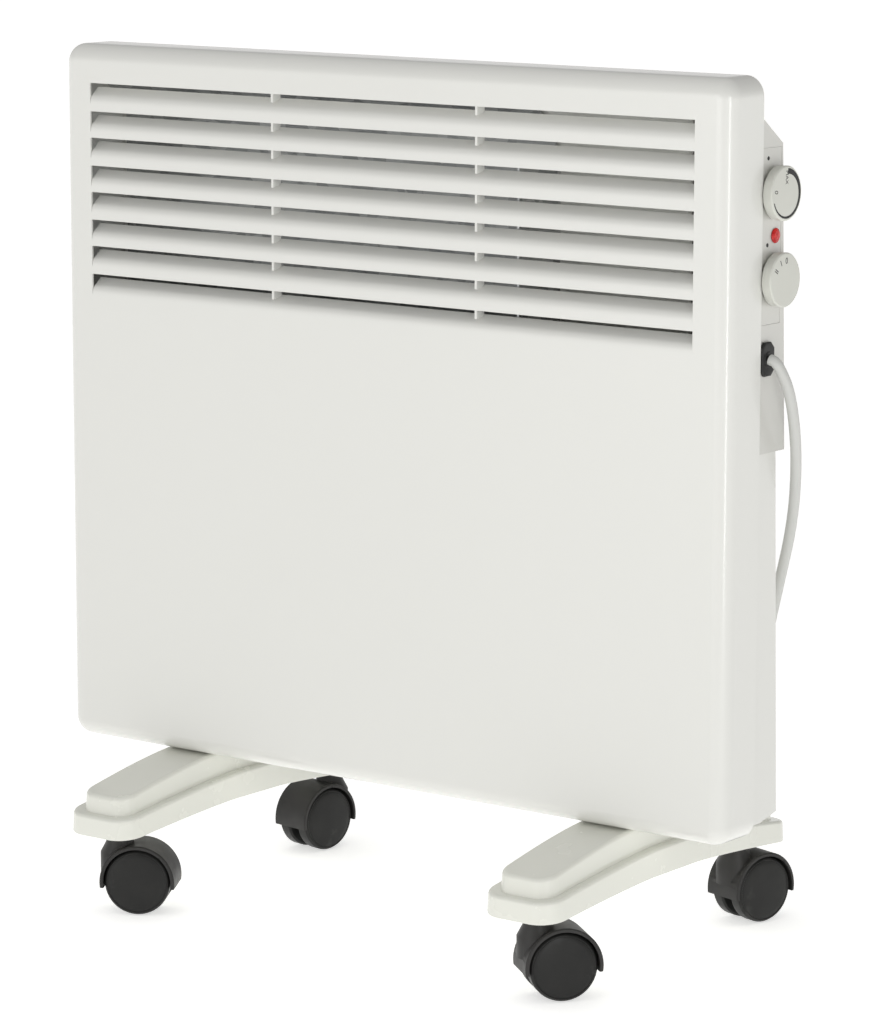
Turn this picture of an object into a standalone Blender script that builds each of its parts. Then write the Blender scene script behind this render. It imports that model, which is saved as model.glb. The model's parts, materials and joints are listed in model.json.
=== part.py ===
"""Convector heater on four twin-wheel castors: a louvred steel front cover over a rear casing, a control
box with two knobs, two arched plastic feet, and a mains lead wound behind it.

Dimensions are millimetres; every mesh is built MM times smaller, so the scene is in metres, +Z up,
with the floor at z = 0. The measures take the flat of the front cover as y = 0 and the cover's middle as
x = 0; at the end everything moves so that the middle of the heater's own box, lead apart, is the origin."""

import math

import bmesh
import bpy
from mathutils import Matrix, Vector

MM = 0.001
GAP = 0.3  # clearance left between pieces that touch
BOX_MIDDLE = (3.2, 51.43)  # middle of the heater's box in x and y, which becomes the origin

# Front cover
COVER_HALF_W = 230.0
COVER_BOTTOM, COVER_TOP = 82.5, 488.5
COVER_DEPTH = 30.5
COVER_ROLL = 10.0  # radius of the rolled border
COVER_CORNER = 11.0  # corner radius seen from the front
SHEET = 1.2

# Louvres: top edges of the eight rows, and the three columns, which thin webs part
LOUVRE_TOPS = (466.6, 450.4, 435.3, 419.3, 404.1, 388.2, 373.0, 356.8)
LOUVRE_COLUMNS = ((-208.5, -74.8), (-73.4, 66.2), (67.6, 207.2))
LOUVRE_H = 8.0
FLAP_REACH, FLAP_RISE, FLAP_T = 7.0, 5.8, 1.0
WEB_ROOT, WEB_DROP = 0.6, 0.7

# Rear casing, as side profile corners (y, z)
CASING_HALF_W = 227.2
CASING_FRONT = 12.0
CASING_BOTTOM, CASING_TOP = 89.2, 467.6
CASING_BACK_LOW, CASING_BACK = 56.0, 50.3
CASING_KNEE = 290.0
CASING_HEEL = 92.8  # the bottom edge rises to this at the back
CASING_SHOULDER = 452.3  # the top slope ends here

# Control box on the right-hand end
BOX_LEFT, BOX_SIDE = 184.0, 228.2
BOX_FRONT = 31.2
BOX_BOTTOM = 289.6
BOX_BACK_LOW, BOX_BACK_HIGH = 57.2, 51.8
BOX_WALL = 1.4
PLATE_Y = (32.2, 50.6)
PLATE_Z = (357.8, 450.8)

# Knobs, lamp and gland, all facing +X
KNOB_Y = 43.2
KNOB_Z = {"thermostat": 427.0, "selector": 381.6}
KNOB_BASE_R, KNOB_HEAD_R = 11.8, 14.5
KNOB_IN, KNOB_STEP, KNOB_FACE = 228.6, 230.7, 236.4
SHAFT_R = 3.0
LAMP_Y, LAMP_Z, LAMP_R = 45.0, 404.3, 4.0
GLAND_Y, GLAND_Z = 37.0, 340.0
GLAND_HALF_Y, GLAND_HALF_Z, GLAND_CHAMFER, GLAND_FACE = 5.9, 9.0, 3.0, 231.0
GLAND_NECK_R, GLAND_TAIL = 4.3, 207.0

# Feet
FOOT_X = 147.0
FOOT_Y = 44.6
FOOT_HALF_L = 117.9
FOOT_HALF_W = 24.0
FOOT_CORNER = 14.0
RIDGE_INSET = 5.5
FOOT_END_Z, FOOT_ARCH_Z = 46.2, 53.6
FLANGE_END_Z, FLANGE_MID_Z = 58.0, 69.0
RIDGE_END_Z, RIDGE_MID_Z = 67.6, 81.9
BOSS_Y = (33.0, 43.0)
BOSS_HALF_X = 16.0
SCREW_X, SCREW_DY = (-9.8, 9.8), -7.6

# Castors
STEM_DY = 96.0  # stems sit this far before and behind the middle of a foot
WHEEL_R, WHEEL_W = 18.75, 9.4
WHEEL_X = 11.6  # the axle trails the swivel axis by this
WHEEL_IN = 3.4
FENDER_R, FENDER_IN_R, FENDER_HALF_W = 21.6, 19.5, 13.2
COLLAR_R, COLLAR_TOP = 8.0, 45.9
AXLE_R = 1.75
PIN_R, PIN_BOTTOM, SOCKET_R, SOCKET_TOP = 3.2, 36.4, 5.0, 52.4
CASTORS = {"front_left": 30.8, "front_right": 51.2, "rear_left": -98.3, "rear_right": 73.9}

# Mains lead
CORD_D = 6.0
CORD_START = (231.3, 37.0, 340.0)
CORD_ROUTE = (
    (233.6, 37.1, 339.9), (235.6, 38.4, 337.4), (237.0, 39.8, 333.2), (238.6, 41.6, 328.0),
    (239.3, 43.8, 322.0), (239.3, 46.4, 315.2), (238.7, 49.4, 307.6), (237.6, 52.8, 298.6),
    (235.9, 56.6, 288.0), (233.2, 61.0, 274.6), (229.0, 66.2, 258.0), (222.4, 72.0, 237.6),
    (212.6, 79.0, 213.0), (201.0, 87.0, 183.0), (187.0, 99.5, 150.0), (170.0, 120.0, 118.0),
    (148.0, 149.0, 91.0), (124.0, 180.0, 66.0), (98.0, 213.0, 43.0), (72.0, 243.0, 24.5), (47.0, 267.0, 11.8),
    (22.0, 281.5, 5.2), (-4.0, 288.5, 3.3), (-27.0, 290.8, 3.2), (-49.5, 291.0, 3.2),
)
CORD_STEP = 8.5  # spacing of the points read from the smooth route
COIL_CENTRE = (-72.0, 330.0)
COIL_IN, COIL_OUT, COIL_H = 27.0, 42.0, 17.5

ROUND = 32  # segments round a turned piece

# Air slots in the casing's bottom
SLOT_X, SLOT_W, SLOT_Y = (-108, -78, -48, -18, 12, 42, 72), 22, (16, 29)

# Rotary controls and lamp behind and through the plate
CONTROL_Y, CONTROL_HALF_H = (34.5, 48.5), 13
KNOB_RECESS, KNOB_EDGE, KNOB_HOLE_R, CONTROL_PIVOT = 2.1, 0.9, 4.0, 6.0
LAMP_BACK, LAMP_STEM_R, LAMP_HOLE_R = 214, 2.7, 3.0
LAMP_SHOULDER, LAMP_DOME, LAMP_TIP = 228.9, (2.6, 229.7), 230
LAMP_HOLDER_R, LAMP_HOLDER_X = (3.0, 4.6), (212, 226)
GLAND_TAIL_R, GLAND_SHOULDER = 3.4, 222

# Pieces inside, each as ranges of x, y and z
PARTITION = ((88.5, 89.7), (8.2, 46.2), (96, 440))
REFLECTOR_X = (-222, 86)
REFLECTOR_BEND = ((46.8, 104), (47.6, 104), (47.6, 451.2), (30.5, 464.3), (30.0, 463.7), (46.8, 450.8))
ELEMENT_X, ELEMENT_Y, ELEMENT_Z = (-196, 72), 30, 150
ELEMENT_FINS = ((-13, -15), (-11, -16), (0, -3.2), (11, -16), (13, -15), (3.2, 0),
                (13, 15), (11, 16), (0, 3.2), (-11, 16), (-13, 15), (-3.2, 0))
INSULATOR_X, INSULATOR_Y, INSULATOR_Z = {"left": (-204, -196.4), "right": (72.4, 80)}, (24, 36), (143, 157)
BRACKET_X, BRACKET_Y, BRACKET_TOP = {"left": (-209, -204.4), "right": (80.4, 85)}, (20, 39), 170
CUTOUT = ((-30, -12), (24, 36), (169, 181))
TIP_SWITCH_X, TIP_SWITCH_Y, TIP_SWITCH_TOP = (120, 146), (18, 39), 112
TERMINALS = ((190, 214), (35, 48), (300, 322))

# Screws under the feet, as (radius, height), and the counterbore each sits in
SCREW_PROFILE = ((0, 50.5), (3.9, 50.5), (3.9, 53.0), (3.0, 54.5), (3.0, 59.7), (0, 59.7))
SCREW_HOLE_R, SCREW_HOLE_Z = 4.4, (40, 60)

# Wheel face: hub recess, edge round and the groove inside the rim
HUB_DEPTH, EDGE_IN, EDGE_OUT, RIM_FALL = 2.4, 1.0, 1.2, 0.3
RIM_IN, GROOVE_IN, FACE_IN, GROOVE_DEPTH = 2.4, 2.8, 3.2, 0.6
DISH_R, DISH_FALL, AXLE_INSET = 9.0, 0.05, 2.9


def material(name, colour, roughness, metallic=0.0):
    made = bpy.data.materials.get(name)
    if made is None:
        made = bpy.data.materials.new(name)
        made.use_nodes = True
        shader = made.node_tree.nodes["Principled BSDF"]
        shader.inputs["Base Color"].default_value = (*colour, 1.0)
        shader.inputs["Roughness"].default_value = roughness
        shader.inputs["Metallic"].default_value = metallic
    return made


def paint():
    return material("white_paint", (0.80, 0.80, 0.77), 0.35)


def cream():
    return material("cream_plastic", (0.80, 0.79, 0.70), 0.3)


def black():
    return material("black_plastic", (0.02, 0.02, 0.02), 0.4)


def steel():
    return material("bright_steel", (0.6, 0.6, 0.6), 0.3, 1.0)


def dark_grey():
    return material("dark_grey_plastic", (0.12, 0.12, 0.12), 0.5)


def finish(bm, name, look):
    """The bmesh, in millimetres, as an object with outward faces."""
    bmesh.ops.recalc_face_normals(bm, faces=bm.faces)
    bmesh.ops.transform(bm, matrix=Matrix.Scale(MM, 4), verts=bm.verts)
    mesh = bpy.data.meshes.new(name)
    bm.to_mesh(mesh)
    bm.free()
    made = bpy.data.objects.new(name, mesh)
    if look is not None:
        mesh.materials.append(look)
    bpy.context.scene.collection.objects.link(made)
    return made


def add_loft(bm, loops):
    """A closed skin over loops of the same length, with a face over each end."""
    rings = [[bm.verts.new(point) for point in loop] for loop in loops]
    for low, high in zip(rings, rings[1:]):
        for i in range(len(low)):
            j = (i + 1) % len(low)
            bm.faces.new((low[i], low[j], high[j], high[i]))
    bm.faces.new(rings[0][::-1])
    bm.faces.new(rings[-1])


def loft(name, loops, look=None):
    bm = bmesh.new()
    add_loft(bm, loops)
    return finish(bm, name, look)


def box_loops(x, y, z):
    return [[(x[0], y[0], h), (x[1], y[0], h), (x[1], y[1], h), (x[0], y[1], h)] for h in z]


def boxes(name, spans, look=None):
    """One object of separate boxes, each given as its x, y and z ranges."""
    bm = bmesh.new()
    for span in spans:
        add_loft(bm, box_loops(*span))
    return finish(bm, name, look)


def slab(name, profile, x, look=None):
    """A (y, z) outline carried along x."""
    return loft(name, [[(end, y, z) for y, z in profile] for end in x], look)


def turned(name, profile, look=None, centre=(0, 0, 0), axis="Z", steps=ROUND):
    """A solid turned from (radius, height) points that run from the axis back to the axis."""
    bm = bmesh.new()
    rings = []
    for radius, height in profile:
        count = 1 if radius == 0 else steps
        rings.append([
            bm.verts.new((radius * math.cos(a), radius * math.sin(a), height))
            for a in (math.tau * i / steps for i in range(count))
        ])
    for low, high in zip(rings, rings[1:]):
        for i in range(steps):
            j = (i + 1) % steps
            if len(low) == 1:
                bm.faces.new((low[0], high[j], high[i]))
            elif len(high) == 1:
                bm.faces.new((low[i], low[j], high[0]))
            else:
                bm.faces.new((low[i], low[j], high[j], high[i]))
    turn = {"X": Matrix.Rotation(math.pi / 2, 4, "Y"), "Y": Matrix.Rotation(-math.pi / 2, 4, "X")}
    bmesh.ops.transform(bm, matrix=Matrix.Translation(centre) @ turn.get(axis, Matrix()), verts=bm.verts)
    made = finish(bm, name, look)
    made.data.shade_smooth()
    made.data.set_sharp_from_angle(angle=math.radians(35))
    return made


def rod(name, radius, ends, look=None, centre=(0, 0, 0), axis="Z", steps=ROUND):
    low, high = ends
    return turned(name, [(0, low), (radius, low), (radius, high), (0, high)], look, centre, axis, steps)


def ring(name, inner, outer, ends, look=None, centre=(0, 0, 0), axis="Z"):
    """A turned ring of rectangular section."""
    made = rod(name, outer, ends, look, centre, axis)
    return combine(made, rod("cut", inner, (ends[0] - 1, ends[1] + 1), None, centre, axis), "DIFFERENCE")


def combine(target, tool, operation):
    """Applies a Boolean with another object, which it uses up."""
    change = target.modifiers.new("combine", "BOOLEAN")
    change.operation, change.solver, change.object = operation, "EXACT", tool
    bpy.context.view_layer.update()
    shape = target.evaluated_get(bpy.context.evaluated_depsgraph_get())
    target.data = bpy.data.meshes.new_from_object(shape)
    target.modifiers.clear()
    target.data.name = target.name
    bpy.data.objects.remove(tool)
    return target


def set_origin(made, point):
    """Moves the object's origin to a point, leaving its shape where it is."""
    made.data.transform(Matrix.Translation(-Vector(point) * MM))
    made.location = Vector(point) * MM
    return made


def rounded(half_w, half_h, radius, steps=5):
    """A rectangle with rounded corners, anticlockwise from the lower right."""
    points = []
    for turn, (sx, sy) in enumerate(((1, -1), (1, 1), (-1, 1), (-1, -1))):
        for i in range(steps + 1):
            a = math.radians(-90 + 90 * turn + 90 * i / steps)
            points.append((sx * (half_w - radius) + radius * math.cos(a),
                           sy * (half_h - radius) + radius * math.sin(a)))
    return points


def cover_loop(inset, y, steps=5):
    middle = (COVER_TOP + COVER_BOTTOM) / 2
    half_h = (COVER_TOP - COVER_BOTTOM) / 2
    outline = rounded(COVER_HALF_W - inset, half_h - inset, max(COVER_CORNER - inset, 2.0), steps)
    return [(x, y, middle + z) for x, z in outline]


def front_cover():
    """Pressed tray with a rolled border, open at the back, with lanced louvres."""
    turns = [math.radians(90 * i / 4) for i in range(5)]
    outer = [cover_loop(COVER_ROLL * (1 - math.sin(a)), COVER_ROLL * (1 - math.cos(a))) for a in turns]
    small = COVER_ROLL - SHEET
    inner = [cover_loop(SHEET + small * (1 - math.sin(a)), SHEET + small * (1 - math.cos(a)))
             for a in turns]
    loops = outer + [cover_loop(0, COVER_DEPTH), cover_loop(SHEET, COVER_DEPTH)] + inner[::-1]
    made = loft("front_cover", loops, paint())
    windows = [(x, (-1, SHEET + 1), (top - LOUVRE_H, top)) for top in LOUVRE_TOPS for x in LOUVRE_COLUMNS]
    combine(made, boxes("cut", windows), "DIFFERENCE")
    bm = bmesh.new()
    ends = (LOUVRE_COLUMNS[0][0] + GAP, LOUVRE_COLUMNS[-1][1] - GAP)
    webs = [(a[1], b[0]) for a, b in zip(LOUVRE_COLUMNS, LOUVRE_COLUMNS[1:])]
    for top in LOUVRE_TOPS:
        base = top - LOUVRE_H - 0.4
        flap = [(0.2, base), (FLAP_REACH, base + FLAP_RISE), (FLAP_REACH + 0.6, base + FLAP_RISE - FLAP_T),
                (0.8, base - FLAP_T)]
        add_loft(bm, [[(end, y, z) for y, z in flap] for end in ends])
    combine(made, finish(bm, "flaps", None), "UNION")
    bm = bmesh.new()
    for top in LOUVRE_TOPS:
        base = top - LOUVRE_H - 0.4
        low, high = base + FLAP_RISE - WEB_DROP, top - 0.1
        web = [(WEB_ROOT, base - 0.2), (WEB_ROOT, high), (FLAP_REACH - 0.2, high), (FLAP_REACH - 0.2, low)]
        for x in webs:
            add_loft(bm, [[(end, y, z) for y, z in web] for end in x])
    combine(made, finish(bm, "webs", None), "UNION")
    return made


def casing_profile(inset, front):
    return [
        (front, CASING_BOTTOM + inset), (40.0, CASING_BOTTOM + inset),
        (CASING_BACK_LOW - inset, CASING_HEEL + inset), (CASING_BACK - inset, CASING_KNEE),
        (CASING_BACK - inset, CASING_SHOULDER - inset * 0.5),
        (30.0, CASING_TOP - inset), (front, CASING_TOP - inset),
    ]


def rear_casing():
    """Folded tray behind the cover, cut away for the control box, with air slots in its bottom."""
    made = slab("rear_casing", casing_profile(0, CASING_FRONT), (-CASING_HALF_W, CASING_HALF_W), paint())
    inside = CASING_HALF_W - SHEET
    combine(made, slab("cut", casing_profile(SHEET, CASING_FRONT - 2), (-inside, inside)), "DIFFERENCE")
    opening_x, opening_y = (BOX_LEFT - GAP, CASING_HALF_W + 2), (BOX_FRONT - GAP, CASING_BACK_LOW + 2)
    opening = (opening_x, opening_y, (BOX_BOTTOM - GAP, CASING_TOP + 2))
    combine(made, boxes("cut", [opening]), "DIFFERENCE")
    slots = [((x, x + SLOT_W), SLOT_Y, (CASING_BOTTOM - 2, CASING_BOTTOM + 2)) for x in SLOT_X]
    combine(made, boxes("cut", slots), "DIFFERENCE")
    return made


def box_profile(inset, front):
    return [(front, BOX_BOTTOM + inset), (BOX_BACK_LOW - inset, BOX_BOTTOM + inset),
            (BOX_BACK_HIGH - inset, CASING_SHOULDER - inset * 0.5), (front, CASING_TOP - 0.4 - inset)]


def control_box():
    """Housing on the right-hand end, open to the front, with a window for the control plate."""
    made = slab("control_box", box_profile(0, BOX_FRONT), (BOX_LEFT, BOX_SIDE), paint())
    inside = (BOX_LEFT + BOX_WALL, BOX_SIDE - BOX_WALL)
    combine(made, slab("cut", box_profile(BOX_WALL, BOX_FRONT - 2), inside), "DIFFERENCE")
    through = (BOX_SIDE - 3, BOX_SIDE + 2)
    combine(made, boxes("cut", [(through, PLATE_Y, PLATE_Z)]), "DIFFERENCE")
    gland_at = (0, GLAND_Y, GLAND_Z)
    combine(made, rod("cut", GLAND_NECK_R + GAP, through, None, gland_at, "X"), "DIFFERENCE")
    return made


def control_plate():
    """Flush plate that carries the thermostat, the lamp and the switch."""
    y, z = (PLATE_Y[0] + GAP, PLATE_Y[1] - GAP), (PLATE_Z[0] + GAP, PLATE_Z[1] - GAP)
    made = boxes("control_plate", [((BOX_SIDE - BOX_WALL, BOX_SIDE), y, z)], paint())
    through = (BOX_SIDE - 3, BOX_SIDE + 2)
    for height in KNOB_Z.values():
        combine(made, rod("cut", KNOB_HOLE_R, through, None, (0, KNOB_Y, height), "X"), "DIFFERENCE")
    combine(made, rod("cut", LAMP_HOLE_R, through, None, (0, LAMP_Y, LAMP_Z), "X"), "DIFFERENCE")
    return made


def control(kind, depth):
    """A rotary control: its body behind the plate, its shaft through it and the knob outside."""
    z = KNOB_Z[kind]
    back = BOX_SIDE - BOX_WALL - GAP
    body = ((back - depth, back), CONTROL_Y, (z - CONTROL_HALF_H, z + CONTROL_HALF_H))
    boxes(kind + "_body", [body], dark_grey())
    ends = (back + GAP, KNOB_FACE - KNOB_RECESS - GAP)
    shaft = rod(kind + "_shaft", SHAFT_R, ends, steel(), (0, KNOB_Y, z), "X", 20)
    set_origin(shaft, (KNOB_FACE - CONTROL_PIVOT, KNOB_Y, z))
    bore_end, bore_r, edge = KNOB_FACE - KNOB_RECESS, SHAFT_R + GAP, KNOB_EDGE
    profile = [(0, bore_end), (bore_r, bore_end), (bore_r, KNOB_IN), (KNOB_BASE_R, KNOB_IN),
               (KNOB_BASE_R, KNOB_STEP), (KNOB_HEAD_R, KNOB_STEP), (KNOB_HEAD_R, KNOB_FACE - edge),
               (KNOB_HEAD_R - edge, KNOB_FACE), (0, KNOB_FACE)]
    knob = turned(kind + "_knob", profile, cream(), (0, KNOB_Y, z), "X", 40)
    set_origin(knob, (KNOB_FACE - CONTROL_PIVOT, KNOB_Y, z))


def indicator_lamp():
    rest = BOX_SIDE + GAP
    profile = [(0, LAMP_BACK), (LAMP_STEM_R, LAMP_BACK), (LAMP_STEM_R, rest), (LAMP_R, rest),
               (LAMP_R, LAMP_SHOULDER), LAMP_DOME, (0, LAMP_TIP)]
    red = material("red_lens", (0.6, 0.02, 0.02), 0.2)
    turned("indicator_lens", profile, red, (0, LAMP_Y, LAMP_Z), "X", 24)
    ring("lamp_holder", *LAMP_HOLDER_R, LAMP_HOLDER_X, dark_grey(), (0, LAMP_Y, LAMP_Z), "X")


def cord_gland():
    """Strain relief: an eight-sided flange on the wall and a neck that tapers inside the box."""
    y, z = GLAND_HALF_Y, GLAND_HALF_Z
    flat_y, flat_z = y - GLAND_CHAMFER, z - GLAND_CHAMFER
    corners = ((-flat_y, -z), (flat_y, -z), (y, -flat_z), (y, flat_z),
               (flat_y, z), (-flat_y, z), (-y, flat_z), (-y, -flat_z))
    flange = [(GLAND_Y + dy, GLAND_Z + dz) for dy, dz in corners]
    made = slab("cord_gland", flange, (BOX_SIDE + GAP, GLAND_FACE), black())
    neck = [(0, GLAND_TAIL), (GLAND_TAIL_R, GLAND_TAIL), (GLAND_NECK_R, GLAND_SHOULDER),
            (GLAND_NECK_R, BOX_SIDE + 1), (0, BOX_SIDE + 1)]
    combine(made, turned("neck", neck, None, (0, GLAND_Y, GLAND_Z), "X", 24), "UNION")


def innards():
    """Pieces inside: partition, element with its brackets, cut-outs, terminal block and reflector."""
    sheet = material("galvanised_sheet", (0.55, 0.56, 0.57), 0.45, 1.0)
    boxes("compartment_partition", [PARTITION], sheet)
    slab("heat_reflector", REFLECTOR_BEND, REFLECTOR_X, sheet)
    fins = [(ELEMENT_Y + dy, ELEMENT_Z + dz) for dy, dz in ELEMENT_FINS]
    slab("heating_element", fins, ELEMENT_X, material("element_aluminium", (0.5, 0.5, 0.5), 0.4, 1.0))
    ceramic = material("steatite", (0.75, 0.72, 0.65), 0.6)
    for side, x in INSULATOR_X.items():
        boxes("element_insulator_" + side, [(x, INSULATOR_Y, INSULATOR_Z)], ceramic)
    floor = CASING_BOTTOM + SHEET + GAP
    for side, x in BRACKET_X.items():
        boxes("element_bracket_" + side, [(x, BRACKET_Y, (floor, BRACKET_TOP))], sheet)
    boxes("thermal_cutout", [CUTOUT], black())
    boxes("tip_over_switch", [(TIP_SWITCH_X, TIP_SWITCH_Y, (floor, TIP_SWITCH_TOP))], black())
    boxes("terminal_block", [TERMINALS], ceramic)


def foot_section(y, half_w, low, high):
    return [(-half_w, y, low), (half_w, y, low), (half_w, y, high), (-half_w, y, high)]


def hump(y, ends, middle, flat):
    """Height at a distance y from the middle: level for flat either way, then a smooth fall to the ends."""
    share = min(max((abs(y) - flat) / (FOOT_HALF_L - flat), 0), 1)
    return middle + (ends - middle) * (share ** 1.35)


def foot_tier(name, half_l, half_w, corner, bottom, top, look):
    """A bar with rounded plan corners whose bottom and top follow the arch."""
    steps = 6
    stations = [-half_l + corner * (1 - math.cos(math.radians(90 * i / steps))) for i in range(steps + 1)]
    stations += [-half_l + corner + (2 * half_l - 2 * corner) * i / 18 for i in range(1, 18)]
    stations += [-y for y in stations[steps::-1]]
    loops = []
    for y in stations:
        past = max(abs(y) - (half_l - corner), 0)
        width = half_w - corner + math.sqrt(max(corner ** 2 - past ** 2, 0.0)) if past else half_w
        loops.append(foot_section(y, width, bottom(y), top(y)))
    return loft(name, loops, look)


def foot(side, x):
    """Two-tier arched foot with sockets for its castor stems and a boss under the casing."""
    def under(y):
        return hump(y, FOOT_END_Z, FOOT_ARCH_Z, 20)

    def ledge(y):
        return hump(y, FLANGE_END_Z, FLANGE_MID_Z, 12)

    def crown(y):
        return hump(y, RIDGE_END_Z, RIDGE_MID_Z, 30)

    name = "foot_" + side
    made = foot_tier(name, FOOT_HALF_L, FOOT_HALF_W, FOOT_CORNER, under, ledge, cream())
    upper = foot_tier("upper", FOOT_HALF_L - RIDGE_INSET, FOOT_HALF_W - RIDGE_INSET, FOOT_CORNER - 3,
                      lambda y: under(y) + 4, crown, None)
    combine(made, upper, "UNION")
    boss_y = (BOSS_Y[0] - FOOT_Y, BOSS_Y[1] - FOOT_Y - 3.5)
    boss = boxes("boss", [((-BOSS_HALF_X, BOSS_HALF_X), boss_y, (70, CASING_BOTTOM - GAP))])
    combine(made, boss, "UNION")
    for y in (-STEM_DY, STEM_DY):
        combine(made, rod("cut", SOCKET_R + GAP, (40, SOCKET_TOP + GAP), None, (0, y, 0)), "DIFFERENCE")
    for dx in SCREW_X:
        hole = rod("cut", SCREW_HOLE_R, SCREW_HOLE_Z, None, (dx, SCREW_DY, 0), steps=20)
        combine(made, hole, "DIFFERENCE")
    made.location = (x * MM, FOOT_Y * MM, 0)
    for number, dx in enumerate(SCREW_X, 1):
        at = (x + dx, FOOT_Y + SCREW_DY, 0)
        turned("foot_%s_screw_%d" % (side, number), SCREW_PROFILE, steel(), at, steps=16)


def wheel_shape(name, side):
    """One wheel of a pair, its domed face outward; side is +1 or -1 along the axle."""
    out = WHEEL_IN + WHEEL_W
    bore, rim = AXLE_R + GAP, out - RIM_FALL
    profile = [(0, out - HUB_DEPTH), (bore, out - HUB_DEPTH), (bore, WHEEL_IN), (WHEEL_R - EDGE_IN, WHEEL_IN),
               (WHEEL_R, WHEEL_IN + EDGE_IN), (WHEEL_R, out - EDGE_OUT), (WHEEL_R - EDGE_OUT, rim),
               (WHEEL_R - RIM_IN, rim), (WHEEL_R - GROOVE_IN, out - GROOVE_DEPTH), (WHEEL_R - FACE_IN, rim),
               (DISH_R, out - DISH_FALL), (0, out)]
    if side > 0:
        profile = [(r, -h) for r, h in profile]
    return turned(name, profile, black(), (0, 0, 0), "Y", 36)


def castor(place, angle):
    """Twin-wheel castor: fixed stem, swivelling hood with its axle, and two free wheels."""
    x = -FOOT_X if place.endswith("left") else FOOT_X
    y = FOOT_Y + (-STEM_DY if place.startswith("front") else STEM_DY)
    name = "castor_" + place
    swivel = bpy.data.objects.new(name + "_swivel_axis", None)
    bpy.context.scene.collection.objects.link(swivel)
    swivel.location = (x * MM, y * MM, 0)
    swivel.rotation_euler = (0, 0, math.radians(angle))

    stem = [(0, PIN_BOTTOM), (PIN_R, PIN_BOTTOM), (PIN_R, FOOT_END_Z + GAP), (SOCKET_R, FOOT_END_Z + GAP),
            (SOCKET_R, SOCKET_TOP), (0, SOCKET_TOP)]
    turned(name + "_stem", stem, steel(), (x, y, 0), steps=24)

    axle_at = (WHEEL_X, 0, WHEEL_R)
    hood = rod(name + "_hood", FENDER_R, (-FENDER_HALF_W, FENDER_HALF_W), black(), axle_at, "Y", 44)
    combine(hood, rod("collar", COLLAR_R, (20, COLLAR_TOP)), "UNION")
    combine(hood, boxes("cut", [((-30, 50), (-20, 20), (-10, 15.5))]), "DIFFERENCE")
    for side in (-1, 1):
        ends = sorted((side * (WHEEL_IN - 0.5), side * (FENDER_HALF_W + 5)))
        combine(hood, rod("cut", FENDER_IN_R, ends, None, axle_at, "Y", 44), "DIFFERENCE")
    combine(hood, rod("cut", AXLE_R + GAP, (-6, 6), None, axle_at, "Y", 16), "DIFFERENCE")
    combine(hood, rod("cut", PIN_R + GAP, (PIN_BOTTOM - GAP, 60), steps=24), "DIFFERENCE")
    reach = WHEEL_IN + WHEEL_W - AXLE_INSET
    axle = rod(name + "_axle", AXLE_R, (-reach, reach), steel(), axle_at, "Y", 16)
    pair = []
    for letter, side in (("a", -1), ("b", 1)):
        wheel = wheel_shape("%s_wheel_%s" % (name, letter), side)
        wheel.location = Vector(axle_at) * MM
        pair.append(wheel)
    for piece in (hood, axle, *pair):
        piece.parent = swivel


def smooth_route(points, step):
    """Points read at equal spacing from a Catmull-Rom curve through the route."""
    inner = [Vector(point) for point in points]
    ends = [inner[0] * 2 - inner[1], *inner, inner[-1] * 2 - inner[-2]]
    dense = []
    for a, b, c, d in zip(ends, ends[1:], ends[2:], ends[3:]):
        for i in range(24):
            t = i / 24
            dense.append(0.5 * (2 * b + (c - a) * t + (2 * a - 5 * b + 4 * c - d) * t ** 2
                                + (3 * b - a - 3 * c + d) * t ** 3))
    dense.append(ends[-2])
    total = sum((b - a).length for a, b in zip(dense, dense[1:]))
    count = round(total / step)
    kept, run, target = [dense[0]], 0.0, total / count
    for a, b in zip(dense, dense[1:]):
        length = (b - a).length
        while length > 0 and run + length >= target * len(kept) and len(kept) < count:
            kept.append(a.lerp(b, (target * len(kept) - run) / length))
        run += length
    kept.append(dense[-1])
    return kept


def mains_lead():
    """The lead from the gland to the floor, its coil, the tie round the coil and the plug."""
    curve = bpy.data.curves.new("power_cord", "CURVE")
    curve.dimensions, curve.bevel_depth, curve.bevel_resolution = "3D", CORD_D / 2 * MM, 2
    curve.use_fill_caps = True
    points = [Vector(CORD_START), *smooth_route(CORD_ROUTE, CORD_STEP)]
    spline = curve.splines.new("POLY")
    spline.points.add(len(points) - 1)
    for spot, point in zip(spline.points, points):
        spot.co = (*(point * MM), 1.0)
    lead = material("light_grey_pvc", (0.55, 0.55, 0.53), 0.5)
    curve.materials.append(lead)
    bpy.context.scene.collection.objects.link(bpy.data.objects.new("power_cord", curve))

    x, y = COIL_CENTRE
    coil = ring("cord_coil", COIL_IN, COIL_OUT, (0.2, COIL_H), lead, (x, y, 0))
    notch = ((x + COIL_IN - 1, x + COIL_OUT + 1), (y - 4.3, y + 4.3), (COIL_H - 1.6, COIL_H + 1))
    combine(coil, boxes("cut", [notch]), "DIFFERENCE")
    tie = ((x + COIL_IN + 0.4, x + COIL_OUT - 0.4), (y - 4, y + 4), (COIL_H - 1.3, COIL_H - 0.2))
    boxes("cord_tie", [tie], black())
    plug_y = y - COIL_OUT + CORD_D / 2
    nose = x - COIL_OUT - 2
    profile = [(0, 0), (3.6, 0), (5.2, 22), (15.5, 26), (18.4, 34), (18.4, 58), (17.4, 60), (0, 60)]
    turned("plug_body", [(r, -h) for r, h in profile], lead, (nose, plug_y, 18.5), "X", 28)
    for letter, dz in (("a", -9.5), ("b", 9.5)):
        rod("plug_pin_" + letter, 2.4, (-79.3, -60.3), steel(), (nose, plug_y, 18.5 + dz), "X", 14)


for leftover in list(bpy.data.objects):
    bpy.data.objects.remove(leftover)

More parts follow.
